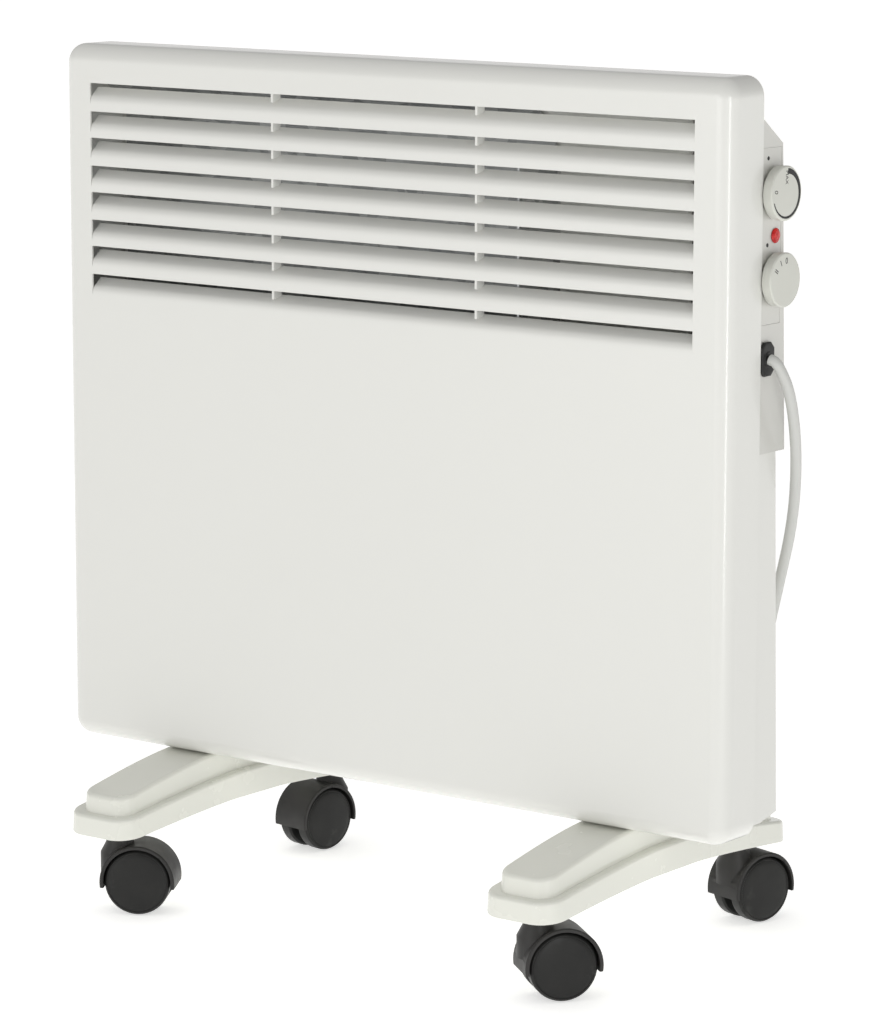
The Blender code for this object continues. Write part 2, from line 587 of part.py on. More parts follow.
front_cover()
rear_casing()
control_box()
control_plate()
control("thermostat", 24.0)
control("selector", 20.0)
indicator_lamp()
cord_gland()
innards()
for side_name, centre_x in (("left", -FOOT_X), ("right", FOOT_X)):
    foot(side_name, centre_x)
for corner_name, swivel_angle in CASTORS.items():
    castor(corner_name, swivel_angle)
mains_lead()
for piece in bpy.data.objects:
    if piece.parent is None:
        piece.location -= Vector((*BOX_MIDDLE, 0)) * MM
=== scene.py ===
"""Looks of a convector heater on castors: finer meshes and procedural finishes over the CAD frame."""
import json
import math

import bmesh
import bpy
from mathutils import Matrix, Vector


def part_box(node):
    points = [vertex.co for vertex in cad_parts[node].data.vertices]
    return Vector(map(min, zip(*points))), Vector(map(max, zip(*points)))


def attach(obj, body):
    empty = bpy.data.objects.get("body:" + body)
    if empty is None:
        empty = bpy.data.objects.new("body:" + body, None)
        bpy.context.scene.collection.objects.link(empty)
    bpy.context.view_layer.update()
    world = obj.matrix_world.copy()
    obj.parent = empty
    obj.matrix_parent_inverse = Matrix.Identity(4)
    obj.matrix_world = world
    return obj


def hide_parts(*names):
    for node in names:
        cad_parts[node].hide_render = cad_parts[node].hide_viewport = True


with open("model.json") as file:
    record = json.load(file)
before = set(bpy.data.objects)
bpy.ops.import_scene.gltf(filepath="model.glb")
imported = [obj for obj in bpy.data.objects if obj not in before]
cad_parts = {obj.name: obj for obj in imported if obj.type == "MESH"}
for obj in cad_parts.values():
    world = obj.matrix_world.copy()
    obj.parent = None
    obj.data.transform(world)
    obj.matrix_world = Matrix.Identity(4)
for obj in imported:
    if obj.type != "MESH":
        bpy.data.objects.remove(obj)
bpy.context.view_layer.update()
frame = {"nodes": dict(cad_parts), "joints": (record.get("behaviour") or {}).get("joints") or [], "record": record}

MM = 0.001
cover_low, cover_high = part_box("front_cover")
# The measures below are millimetres from the middle of the cover, its front flat and the floor.
ORIGIN = Vector(((cover_low.x + cover_high.x) / 2, cover_low.y, 0.0))
JOINTS = {joint["name"]: joint for joint in frame["joints"]}


def at(x, y, z):
    return ORIGIN + Vector((x, y, z)) * MM


def measure(point):
    return (Vector(point) - ORIGIN) / MM


# ---------------------------------------------------------------- camera

CAMERA_AT = (1433.66, -1840.93, 649.38)
CAMERA_TURN, CAMERA_DIP, CAMERA_ROLL = math.radians(37.0), math.radians(9.964), math.radians(0.077)
CAMERA_LENS, CAMERA_SENSOR = 150.68, 36.0
CAMERA_CLIP = (0.05, 200.0)  # metres

camera_data = bpy.data.cameras.new("camera")
camera_data.lens, camera_data.sensor_width = CAMERA_LENS, CAMERA_SENSOR
camera_data.clip_start, camera_data.clip_end = CAMERA_CLIP
camera = bpy.data.objects.new("camera", camera_data)
bpy.context.scene.collection.objects.link(camera)
ahead = Vector((-math.sin(CAMERA_TURN) * math.cos(CAMERA_DIP),
                math.cos(CAMERA_TURN) * math.cos(CAMERA_DIP),
                -math.sin(CAMERA_DIP)))
level = Vector((math.cos(CAMERA_TURN), math.sin(CAMERA_TURN), 0.0))
upward = level.cross(ahead)
right = level * math.cos(CAMERA_ROLL) + upward * math.sin(CAMERA_ROLL)
upward = right.cross(ahead)
facing = Matrix((right, upward, -ahead)).transposed().to_4x4()
camera.matrix_world = Matrix.Translation(at(*CAMERA_AT)) @ facing
bpy.context.scene.camera = camera


# ---------------------------------------------------------------- materials

NOISE_LOW, NOISE_HIGH = 0.3, 0.7  # where nearly all of a noise texture's values lie
PATCH_DETAIL, MARK_DETAIL, ROUGH_DETAIL, GRAIN_DETAIL = 4.0, 6.0, 5.0, 2.0
MARK_EDGE = 0.06  # softness of a scuff's edge
ROUGH_SCALE = 3.1  # roughness varies this much more finely than colour
COAT_ROUGH = 0.12
CELL_ROUGH, CELL_DEPTH = 0.08, 0.0002


def node(tree, kind, **values):
    made = tree.nodes.new(kind)
    for key, value in values.items():
        setattr(made, key, value)
    return made


def noise(tree, where, scale, detail, stretch=None):
    """Noise output socket over object coordinates in metres."""
    if stretch is not None:
        mapping = node(tree, "ShaderNodeMapping")
        mapping.inputs["Scale"].default_value = stretch
        tree.links.new(where, mapping.inputs["Vector"])
        where = mapping.outputs["Vector"]
    made = node(tree, "ShaderNodeTexNoise")
    made.inputs["Scale"].default_value = scale
    made.inputs["Detail"].default_value = detail
    tree.links.new(where, made.inputs["Vector"])
    return made.outputs["Fac"]


def ramp(tree, fac, stops):
    made = node(tree, "ShaderNodeValToRGB")
    for element, (position, colour) in zip(made.color_ramp.elements, stops):
        element.position, element.color = position, (*colour, 1)
    tree.links.new(fac, made.inputs["Fac"])
    return made.outputs["Color"]


def span(tree, fac, low, high, start=NOISE_LOW, end=NOISE_HIGH):
    made = node(tree, "ShaderNodeMapRange")
    for key, value in (("From Min", start), ("From Max", end), ("To Min", low), ("To Max", high)):
        made.inputs[key].default_value = value
    tree.links.new(fac, made.inputs["Value"])
    return made.outputs["Result"]


def shade(colour, factor):
    return tuple(min(part * factor, 1.0) for part in colour)


def surface(name, colour, rough, vary, patch, grain, bump, depth, metallic=0.0, coat=0.0,
            grain_stretch=None, worn=None, rough_vary=0.06, gloss=0.5):
    """A finish whose colour, roughness and grain vary over the surface.

    patch and grain are noise scales per metre, depth the height of the grain in metres, and worn the
    (colour, share of the surface, noise scale) of its scuffs."""
    made = bpy.data.materials.new(name)
    made.use_nodes = True
    tree = made.node_tree
    shader = tree.nodes["Principled BSDF"]
    where = node(tree, "ShaderNodeTexCoord").outputs["Object"]
    tones = ((NOISE_LOW, shade(colour, 1 - vary)), (NOISE_HIGH, shade(colour, 1 + vary)))
    tone = ramp(tree, noise(tree, where, patch, PATCH_DETAIL), tones)
    if worn is not None:
        mark_colour, cover, scale = worn
        scuffs = noise(tree, where, scale, MARK_DETAIL)
        marks = span(tree, scuffs, 0.0, 1.0, 1.0 - cover - MARK_EDGE, 1.0 - cover)
        mix = node(tree, "ShaderNodeMix", data_type="RGBA")
        mix.inputs["B"].default_value = (*mark_colour, 1)
        tree.links.new(marks, mix.inputs["Factor"])
        tree.links.new(tone, mix.inputs["A"])
        tone = mix.outputs["Result"]
    tree.links.new(tone, shader.inputs["Base Color"])
    rubbed = noise(tree, where, patch * ROUGH_SCALE, ROUGH_DETAIL)
    polish = span(tree, rubbed, rough - rough_vary, rough + rough_vary)
    tree.links.new(polish, shader.inputs["Roughness"])
    lift = node(tree, "ShaderNodeBump")
    lift.inputs["Strength"].default_value = bump
    lift.inputs["Distance"].default_value = depth
    tree.links.new(noise(tree, where, grain, GRAIN_DETAIL, grain_stretch), lift.inputs["Height"])
    tree.links.new(lift.outputs["Normal"], shader.inputs["Normal"])
    shader.inputs["Metallic"].default_value = metallic
    shader.inputs["Coat Weight"].default_value = coat
    shader.inputs["Coat Roughness"].default_value = COAT_ROUGH
    shader.inputs["Specular IOR Level"].default_value = gloss
    return made


def cells(name, dark, light, rough, scale, metallic, bump=0.1):
    """A crystalline finish, such as the spangle on galvanised sheet or a faceted lens."""
    made = bpy.data.materials.new(name)
    made.use_nodes = True
    tree = made.node_tree
    shader = tree.nodes["Principled BSDF"]
    where = node(tree, "ShaderNodeTexCoord").outputs["Object"]
    pattern = node(tree, "ShaderNodeTexVoronoi")
    pattern.inputs["Scale"].default_value = scale
    tree.links.new(where, pattern.inputs["Vector"])
    value = node(tree, "ShaderNodeSeparateColor")
    tree.links.new(pattern.outputs["Color"], value.inputs["Color"])
    tone = ramp(tree, value.outputs["Red"], ((0.1, dark), (0.9, light)))
    tree.links.new(tone, shader.inputs["Base Color"])
    polish = span(tree, value.outputs["Green"], rough - CELL_ROUGH, rough + CELL_ROUGH, 0.0, 1.0)
    tree.links.new(polish, shader.inputs["Roughness"])
    lift = node(tree, "ShaderNodeBump")
    lift.inputs["Strength"].default_value = bump
    lift.inputs["Distance"].default_value = CELL_DEPTH
    tree.links.new(pattern.outputs["Distance"], lift.inputs["Height"])
    tree.links.new(lift.outputs["Normal"], shader.inputs["Normal"])
    shader.inputs["Metallic"].default_value = metallic
    return made


# Name, colour, roughness, colour variation, patch, grain, bump and grain depth
PAINT = surface("white_enamel", (0.785, 0.785, 0.75), 0.30, 0.006, 3.0, 650.0, 0.06, 0.00003, coat=0.7,
                rough_vary=0.02)
BOX_PAINT = surface("shell_enamel", (0.66, 0.655, 0.62), 0.34, 0.006, 3.0, 650.0, 0.06, 0.00003, coat=0.4,
                    rough_vary=0.02)
CREAM = surface("cream_moulding", (0.83, 0.835, 0.765), 0.24, 0.006, 12.0, 420.0, 0.06, 0.00004, coat=0.3)
KNOB = surface("knob_moulding", (0.66, 0.665, 0.61), 0.42, 0.02, 40.0, 2600.0, 0.25, 0.00003)
INK = surface("dial_print", (0.012, 0.012, 0.012), 0.5, 0.2, 200.0, 3000.0, 0.1, 0.00002)
BLACK = surface("black_moulding", (0.022, 0.021, 0.020), 0.46, 0.25, 30.0, 2200.0, 0.35, 0.00004,
                gloss=0.42)
TREAD = surface("castor_nylon", (0.015, 0.015, 0.014), 0.40, 0.25, 45.0, 1800.0, 0.4, 0.00005,
                worn=((0.03, 0.029, 0.028), 0.30, 60.0), gloss=0.3)
RUBBER = surface("gland_rubber", (0.012, 0.012, 0.012), 0.5, 0.3, 60.0, 1500.0, 0.4, 0.00005)
DARK = surface("phenolic_moulding", (0.09, 0.09, 0.09), 0.5, 0.12, 50.0, 1400.0, 0.3, 0.00005)
STEEL = surface("turned_steel", (0.58, 0.58, 0.57), 0.30, 0.08, 50.0, 900.0, 0.25, 0.00003, metallic=1.0,
                grain_stretch=(1.0, 1.0, 6.0))
ALUMINIUM = surface("extruded_aluminium", (0.46, 0.46, 0.455), 0.42, 0.08, 30.0, 700.0, 0.4, 0.00006,
                    metallic=1.0, grain_stretch=(0.05, 1.0, 1.0))
# Name, dark and light colour, roughness, cells per metre, metal and bump
ZINC = cells("galvanised_spangle", (0.40, 0.41, 0.42), (0.62, 0.63, 0.63), 0.42, 120.0, 0.8)
LENS = cells("red_lens_prisms", (0.50, 0.008, 0.008), (0.72, 0.03, 0.025), 0.20, 900.0, 0.0, 0.6)
CERAMIC = surface("steatite_ceramic", (0.70, 0.67, 0.60), 0.6, 0.06, 90.0, 1600.0, 0.4, 0.00006)
PVC = surface("lead_sheath", (0.62, 0.625, 0.60), 0.42, 0.03, 30.0, 700.0, 0.25, 0.00006)
TIE = surface("tie_wrap", (0.02, 0.02, 0.02), 0.45, 0.2, 80.0, 1500.0, 0.4, 0.00005)

# The box and plate get a darker, duller copy of the cover's white, which darkens the box's side
TONES = {"control_box": BOX_PAINT, "control_plate": BOX_PAINT}
FINISH = {
    "white_paint": PAINT, "cream_plastic": CREAM, "black_plastic": BLACK, "bright_steel": STEEL,
    "dark_grey_plastic": DARK, "red_lens": LENS, "galvanised_sheet": ZINC,
    "element_aluminium": ALUMINIUM, "steatite": CERAMIC, "light_grey_pvc": PVC,
}
for part in frame["record"]["subparts"]:
    cad = frame["nodes"][part["node"]]
    cad.data.materials.clear()
    cad.data.materials.append(TONES.get(part["node"], FINISH[part["material_slot"]]))


# ---------------------------------------------------------------- mesh tools, in millimetres

def finish(bm, name, look, smooth=35.0):
    """The bmesh as an object in metres, smooth except at edges sharper than the angle."""
    bmesh.ops.recalc_face_normals(bm, faces=bm.faces)
    bmesh.ops.transform(bm, matrix=Matrix.Scale(MM, 4), verts=bm.verts)
    mesh = bpy.data.meshes.new(name)
    bm.to_mesh(mesh)
    bm.free()
    if look is not None:
        mesh.materials.append(look)
    made = bpy.data.objects.new(name, mesh)
    bpy.context.scene.collection.objects.link(made)
    soften(made, smooth)
    return made


def soften(made, angle):
    made.data.shade_smooth()
    made.data.set_sharp_from_angle(angle=math.radians(angle))


def add_loft(bm, loops, capped=True):
    rings = [[bm.verts.new(point) for point in loop] for loop in loops]
    for low, high in zip(rings, rings[1:]):
        for i in range(len(low)):
            j = (i + 1) % len(low)
            bm.faces.new((low[i], low[j], high[j], high[i]))
    if capped:
        bm.faces.new(rings[0][::-1])
        bm.faces.new(rings[-1])


def add_box(bm, x, y, z):
    corners = ((x[0], y[0]), (x[1], y[0]), (x[1], y[1]), (x[0], y[1]))
    add_loft(bm, [[(across, along, level) for across, along in corners] for level in z])


def add_turned(bm, profile, axis="Z", centre=(0, 0, 0), steps=72):
    """Turns (radius, height) points, from the axis back to the axis."""
    turn = {"X": Matrix.Rotation(math.pi / 2, 4, "Y"), "Y": Matrix.Rotation(-math.pi / 2, 4, "X")}
    stand = Matrix.Translation(centre) @ turn.get(axis, Matrix())
    rings = []
    for radius, height in profile:
        ring = []
        for i in range(1 if radius == 0 else steps):
            a = math.tau * i / steps
            ring.append(bm.verts.new(stand @ Vector((radius * math.cos(a), radius * math.sin(a), height))))
        rings.append(ring)
    for low, high in zip(rings, rings[1:]):
        for i in range(steps):
            j = (i + 1) % steps
            if len(low) == 1:
                bm.faces.new((low[0], high[j], high[i]))
            elif len(high) == 1:
                bm.faces.new((low[i], low[j], high[0]))
            else:
                bm.faces.new((low[i], low[j], high[j], high[i]))


def turned(name, profile, look, axis="Z", centre=(0, 0, 0), steps=72, smooth=35.0):
    bm = bmesh.new()
    add_turned(bm, profile, axis, centre, steps)
    return finish(bm, name, look, smooth)


def fillet(corner, before, after, radius, steps=5):
    """Points of an arc that rounds a profile corner between two neighbouring points."""
    c, a, b = Vector(corner), Vector(before), Vector(after)
    u, v = (a - c).normalized(), (b - c).normalized()
    half = u.angle(v) / 2
    reach = radius / math.tan(half)
    middle = c + (u + v).normalized() * (radius / math.sin(half))
    start, end = c + u * reach - middle, c + v * reach - middle
    turn = start.angle(end)
    points = []
    for i in range(steps + 1):
        t = i / steps
        spoke = start * math.sin((1 - t) * turn) + end * math.sin(t * turn)
        points.append(tuple(middle + spoke / math.sin(turn)))
    return points


def eased(profile, radii, steps=5):
    """The profile with the corners that radii names, by index, rounded to the given radius."""
    points = [profile[0]]
    for i in range(1, len(profile) - 1):
        if radii.get(i, 0):
            points += fillet(profile[i], profile[i - 1], profile[i + 1], radii[i], steps)
        else:
            points.append(profile[i])
    return points + [profile[-1]]


def combine(target, tool, operation):
    change = target.modifiers.new("combine", "BOOLEAN")
    change.operation, change.solver, change.object = operation, "EXACT", tool
    bpy.context.view_layer.update()
    shape = target.evaluated_get(bpy.context.evaluated_depsgraph_get())
    target.data = bpy.data.meshes.new_from_object(shape)
    target.modifiers.clear()
    bpy.data.objects.remove(tool)


def cutter(x, y, z):
    bm = bmesh.new()
    add_box(bm, x, y, z)
    return finish(bm, "cut", None)


BEVEL_ANGLE, BEVEL_SEGMENTS = 40.0, 2


def bevel(made, width):
    """Rounds the edges sharper than the angle, by a width in millimetres."""
    change = made.modifiers.new("edge", "BEVEL")
    change.width, change.segments, change.limit_method = width * MM, BEVEL_SEGMENTS, "ANGLE"
    change.angle_limit = math.radians(BEVEL_ANGLE)
    change.harden_normals = True


def even_normals(made):
    change = made.modifiers.new("normals", "WEIGHTED_NORMAL")
    change.keep_sharp = True
    return made


def place(made, matrix):
    """Carries a mesh, built in metres about its own zero, to its place."""
    made.data.transform(matrix)
    return made


def joined(name, pieces):
    """Several meshes as one object; the first gives the object."""
    bm = bmesh.new()
    looks = []
    for piece in pieces:
        start = len(bm.faces)
        bm.from_mesh(piece.data)
        bm.faces.ensure_lookup_table()
        if piece.data.materials[0] not in looks:
            looks.append(piece.data.materials[0])
        for face in bm.faces[start:]:
            face.material_index = looks.index(piece.data.materials[0])
    mesh = bpy.data.meshes.new(name)
    bm.to_mesh(mesh)
    bm.free()
    for look in looks:
        mesh.materials.append(look)
    for piece in pieces:
        bpy.data.objects.remove(piece)
    made = bpy.data.objects.new(name, mesh)
    bpy.context.scene.collection.objects.link(made)
    return made


ABOUT = Matrix.Translation(ORIGIN)


# ---------------------------------------------------------------- mains lead

CORD_D = 6.0
CORD_ROUTE = (
    (231.3, 37.0, 340.0), (233.4, 37.1, 339.6), (235.4, 38.2, 337.4), (237.0, 39.8, 333.2),
    (238.6, 41.6, 328.0), (239.3, 43.8, 322.0), (239.3, 46.4, 315.2), (238.7, 49.4, 307.6),
    (237.6, 52.8, 298.6), (235.9, 56.6, 288.0), (233.2, 61.0, 274.6), (229.0, 66.2, 258.0),
    (222.4, 72.0, 237.6), (212.6, 79.0, 213.0), (201.0, 87.0, 183.0), (187.0, 99.5, 150.0),
    (170.0, 120.0, 118.0), (148.0, 149.0, 91.0), (124.0, 180.0, 66.0), (98.0, 213.0, 43.0),
    (72.0, 243.0, 24.5), (47.0, 267.0, 11.8), (22.0, 281.5, 5.2), (-4.0, 288.5, 3.3),
    (-27.0, 290.8, 3.2), (-49.5, 291.0, 3.2),
)
coil_low, coil_high = (measure(corner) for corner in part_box("cord_coil"))
COIL_X, COIL_Y = (coil_low.x + coil_high.x) / 2, (coil_low.y + coil_high.y) / 2
# Tracks of the wound lead, (radius, height), each laid a diameter from its neighbours.
COIL_TRACKS = ((39.0, 3.2), (33.0, 3.2), (30.0, 8.5), (36.0, 8.5), (39.0, 13.8))
COIL_SHIFTS = ((330, 400), (620, 690), (910, 975), (1215, 1265))  # degrees wound where it changes track
COIL_START, COIL_WOUND, COIL_STEP = 90, 1530, 6  # degrees
COIL_CLIMB, CLIMB_SHIFT = 0.9, 2  # the third shift rises over the groove


def smooth_step(value):
    value = min(max(value, 0.0), 1.0)
    return value * value * (3 - 2 * value)


def coil_points():
    points = []
    for wound in range(COIL_START, COIL_WOUND + 1, COIL_STEP):
        radius, height = COIL_TRACKS[0]
        for i, (start, end) in enumerate(COIL_SHIFTS):
            share = smooth_step((wound - start) / (end - start))
            radius += share * (COIL_TRACKS[i + 1][0] - COIL_TRACKS[i][0])
            height += share * (COIL_TRACKS[i + 1][1] - COIL_TRACKS[i][1])
            if i == CLIMB_SHIFT and start < wound < end:
                height += COIL_CLIMB * math.sin(math.pi * (wound - start) / (end - start))
        a = math.radians(wound)
        points.append((COIL_X + radius * math.cos(a), COIL_Y - radius * math.sin(a), height))
    return points


plug_low, plug_high = (measure(corner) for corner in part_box("plug_body"))
PLUG_X, PLUG_Y, PLUG_Z = plug_high.x, (plug_low.y + plug_high.y) / 2, (plug_low.z + plug_high.z) / 2
INTO_PLUG = ((26, 15.2), (12, 17.6), (1.0, PLUG_Z))  # distance before the plug's nose, and height
route = [Vector(point) for point in (*CORD_ROUTE, *coil_points())]
route += [Vector((PLUG_X + before, PLUG_Y, height)) for before, height in INTO_PLUG]


CURVE_STEPS = 12
LEAD_STEP = 3.0


def through(points, step):
    """Points at equal spacing on a Catmull-Rom curve through the route."""
    ends = [points[0] * 2 - points[1], *points, points[-1] * 2 - points[-2]]
    dense = []
    for a, b, c, d in zip(ends, ends[1:], ends[2:], ends[3:]):
        for i in range(CURVE_STEPS):
            t = i / CURVE_STEPS
            dense.append(0.5 * (2 * b + (c - a) * t + (2 * a - 5 * b + 4 * c - d) * t ** 2
                                + (3 * b - a - 3 * c + d) * t ** 3))
    dense.append(points[-1])
    kept, run, due = [dense[0]], 0.0, step
    for a, b in zip(dense, dense[1:]):
        length = (b - a).length
        while length > 0 and run + length >= due:
            kept.append(a.lerp(b, (due - run) / length))
            due += step
        run += length
    kept.append(dense[-1])
    return kept


lead_line = through(route, LEAD_STEP)
curve = bpy.data.curves.new("mains_lead", "CURVE")
curve.dimensions, curve.bevel_depth, curve.bevel_resolution = "3D", CORD_D / 2 * MM, 5
curve.use_fill_caps = True
spline = curve.splines.new("POLY")
spline.points.add(len(lead_line) - 1)
for spot, point in zip(spline.points, lead_line):
    spot.co = (*at(*point), 1.0)
spline.use_smooth = True
curve.materials.append(PVC)
lead = bpy.data.objects.new("mains_lead", curve)
bpy.context.scene.collection.objects.link(lead)

# Moulded plug: tapered neck, waisted grip with finger flats, and a collar at the pin end
PLUG_PROFILE = [(0, 0), (4.0, 0), (5.4, 18), (7.0, 23), (14.8, 27), (16.4, 31), (16.0, 40), (16.8, 46),
                (18.3, 48.5), (18.3, 58.6), (17.0, 60), (14.5, 60), (14.5, 58.2), (0, 58.2)]
PLUG_ROUNDS = {3: 2, 4: 3, 5: 4, 6: 8, 7: 2, 8: 1.2}
FLAT_FROM, FLAT_TO, FLAT_IN, FLAT_OUT, FLAT_HALF_H = 47, 27, 13.6, 25, 9  # from the nose, then the axis
plug = turned("plug_moulding", eased([(r, -h) for r, h in PLUG_PROFILE], PLUG_ROUNDS), PVC, "X",
              (PLUG_X, PLUG_Y, PLUG_Z), 64)
for flat_y in ((PLUG_Y + FLAT_IN, PLUG_Y + FLAT_OUT), (PLUG_Y - FLAT_OUT, PLUG_Y - FLAT_IN)):
    flat_z = (PLUG_Z - FLAT_HALF_H, PLUG_Z + FLAT_HALF_H)
    combine(plug, cutter((PLUG_X - FLAT_FROM, PLUG_X - FLAT_TO), flat_y, flat_z), "DIFFERENCE")
soften(plug, 35)
bevel(plug, 0.5)
place(plug, ABOUT)

# Tie round the coil's section, and the lock on top of it
TIE_HALF_W, TIE_T, TIE_CORNER = 2.4, 0.7, 4
TIE_X, TIE_Z, TIE_FLOOR = (26.9, 42.1), (0.35, 17.0), 0.05  # x from the coil's axis, and heights
LOCK_X, LOCK_HALF_W, LOCK_Z = (31, 38), 3.0, (17.2, 18.4)


def tie_ring(grow):
    """The tie's outline in x and z, its corners rounded, grown outward but not through the floor."""
    x0, x1 = COIL_X + TIE_X[0] - grow + TIE_CORNER, COIL_X + TIE_X[1] + grow - TIE_CORNER
    z0, z1 = max(TIE_FLOOR, TIE_Z[0] - grow) + TIE_CORNER, TIE_Z[1] + grow - TIE_CORNER
    points = []
    for turn, (cx, cz) in enumerate(((x1, z0), (x1, z1), (x0, z1), (x0, z0))):
        for i in range(7):
            a = math.radians(-90 + 90 * turn + 15 * i)
            points.append((cx + TIE_CORNER * math.cos(a), cz + TIE_CORNER * math.sin(a)))
    return points


bm = bmesh.new()
inner, outer = tie_ring(0.0), tie_ring(TIE_T)
sides = ((inner, -TIE_HALF_W), (outer, -TIE_HALF_W), (outer, TIE_HALF_W), (inner, TIE_HALF_W),
         (inner, -TIE_HALF_W))
add_loft(bm, [[(x, COIL_Y + y, z) for x, z in ring] for ring, y in sides], capped=False)
bmesh.ops.remove_doubles(bm, verts=bm.verts, dist=0.001)
add_box(bm, [COIL_X + x for x in LOCK_X], (COIL_Y - LOCK_HALF_W, COIL_Y + LOCK_HALF_W), LOCK_Z)
tie = place(finish(bm, "lead_tie", TIE), ABOUT)
bevel(tie, 0.2)

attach(lead, "heater")
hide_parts("power_cord", "cord_coil")
for piece, covers, slot in ((plug, "plug_body", "light_grey_pvc"), (tie, "cord_tie", "black_plastic")):
    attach(piece, "heater")
    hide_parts(covers)
gland_low, gland_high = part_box("cord_gland")
cord_exit = (gland_high.x, (gland_low.y + gland_high.y) / 2, (gland_low.z + gland_high.z) / 2)


# ---------------------------------------------------------------- front cover

COVER_HALF_W = (cover_high.x - cover_low.x) / 2 / MM
COVER_Z0, COVER_Z1 = cover_low.z / MM, cover_high.z / MM
COVER_DEPTH = 30.5
COVER_ROLL, COVER_CORNER, COVER_LEAST_CORNER, SHEET = 10.0, 11.0, 2.2, 1.2
EDGE_R = 0.3  # rounding of the tray's rear edge
ROLL_STEPS = 10
LOUVRE_TOPS = (466.6, 450.4, 435.3, 419.3, 404.1, 388.2, 373.0, 356.8)
LOUVRE_COLUMNS = ((-208.5, -74.8), (-73.4, 66.2), (67.6, 207.2))
LOUVRE_DROP = 11.5  # from a row's top edge down to where its flap starts to bend
WEB_FRONT = 4.7  # height of the front edge of the webs that part the columns
# Front of a flap from its root to its free edge, as (depth, height under the row's top edge)
FLAP = ((0.0, -11.7), (0.02, -10.9), (0.1, -10.0), (0.3, -9.1), (0.7, -8.2), (1.35, -7.3), (2.3, -6.4),
        (3.5, -5.4), (7.0, -2.6))
FLAP_T = 0.9
FLAP_BACK = ((2.2, -8.1), (1.3, -9.6), (0.95, -11.7))  # back of a flap where it bends into the sheet
WEB_IN, WEB_OUT = 0.02, 6.9
WEB = ((WEB_IN, -WEB_FRONT), (WEB_OUT, -3.6), (WEB_OUT, 0.0), (WEB_IN, 0.0))
END_WEB = ((WEB_IN, -11.0), (0.9, -8.4), (2.3, -6.8), (WEB_OUT, -3.1), (WEB_OUT, 0.0), (WEB_IN, 0.0))
END_WEB_X = (-0.02, 0.92)  # from the last column's edge
CLEAR = 0.08  # keeps a web's sides off the strips beside it
FLAP_INSETS = (0.25, 0.1)  # of the first and the last column's edges


def outline(inset, y, steps=8):
    half_w, half_h = COVER_HALF_W - inset, (COVER_Z1 - COVER_Z0) / 2 - inset
    radius = max(COVER_CORNER - inset, COVER_LEAST_CORNER)
    middle = (COVER_Z1 + COVER_Z0) / 2
    points = []
    for turn, (sx, sz) in enumerate(((1, -1), (1, 1), (-1, 1), (-1, -1))):
        for i in range(steps + 1):
            a = math.radians(-90 + 90 * turn + 90 * i / steps)
            points.append((sx * (half_w - radius) + radius * math.cos(a), y,
                           middle + sz * (half_h - radius) + radius * math.sin(a)))
    return points


def tray_shell():
    """The cover's sheet: front flat, rolled border, rear edge and the same roll inside."""
    turns = [math.radians(90 * i / ROLL_STEPS) for i in range(ROLL_STEPS + 1)]
    small = COVER_ROLL - SHEET
    loops = [outline(COVER_ROLL * (1 - math.sin(a)), COVER_ROLL * (1 - math.cos(a))) for a in turns]
    loops += [outline(0, COVER_DEPTH - EDGE_R), outline(EDGE_R, COVER_DEPTH),
              outline(SHEET - EDGE_R, COVER_DEPTH), outline(SHEET, COVER_DEPTH - EDGE_R)]
    loops += [outline(SHEET + small * (1 - math.sin(a)), SHEET + small * (1 - math.cos(a)))
              for a in turns[::-1]]
    bm = bmesh.new()
    add_loft(bm, loops)
    return finish(bm, "tray", PAINT, 50)


def flap_section():
    """Outline of a flap across its length, in depth and height under the row's top edge."""
    (y0, z0), (y1, z1) = FLAP[-2:]
    along = Vector((y1 - y0, z1 - z0)).normalized()
    across = Vector((along.y, -along.x)) * FLAP_T
    nose = (y1 + across.x * 0.5 + along.x * EDGE_R, z1 + across.y * 0.5 + along.y * EDGE_R)
    return [*FLAP, nose, (y1 + across.x, z1 + across.y), (y0 + across.x, z0 + across.y), *FLAP_BACK]


def front_cover():
    """Louvred tray: windows cut through it, flaps behind them, and webs that part the columns."""
    tray = tray_shell()
    through_sheet = (-1, SHEET + 1)
    gaps = [(a[1], b[0]) for a, b in zip(LOUVRE_COLUMNS, LOUVRE_COLUMNS[1:])]
    bm = bmesh.new()
    for top in LOUVRE_TOPS:
        for x in LOUVRE_COLUMNS:
            add_box(bm, x, through_sheet, (top - LOUVRE_DROP, top))
    combine(tray, finish(bm, "cut", None), "DIFFERENCE")
    bm = bmesh.new()
    for top in LOUVRE_TOPS:
        for low, high in gaps:
            add_box(bm, (low - 1, high + 1), through_sheet, (top - LOUVRE_DROP, top - WEB_FRONT))
    combine(tray, finish(bm, "cut", None), "DIFFERENCE")
    soften(tray, 50)

    first, last = LOUVRE_COLUMNS[0][0], LOUVRE_COLUMNS[-1][1]
    flap_x = (first + FLAP_INSETS[0], last - FLAP_INSETS[1])
    webs = [(WEB, (low + CLEAR, high - CLEAR)) for low, high in gaps]
    webs.append((END_WEB, [last + x for x in END_WEB_X]))
    bm = bmesh.new()
    for top in LOUVRE_TOPS:
        for shape, sides in ((flap_section(), flap_x), *webs):
            add_loft(bm, [[(x, y, top + z) for y, z in shape] for x in sides])
    flaps = finish(bm, "flaps", PAINT, 50)
    return joined("louvred_cover", [tray, flaps])


cover = even_normals(place(front_cover(), ABOUT))
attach(cover, "heater")
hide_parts("front_cover")

EDGE_WIDTHS = {"rear_casing": 0.45, "control_box": 0.5, "control_plate": 0.25}
for name, width in EDGE_WIDTHS.items():
    bevel(frame["nodes"][name], width)


# ---------------------------------------------------------------- feet

FOOT_HALF_L = 117.9
ARCH_POWER = 1.35  # how late the arch bends down to the ends
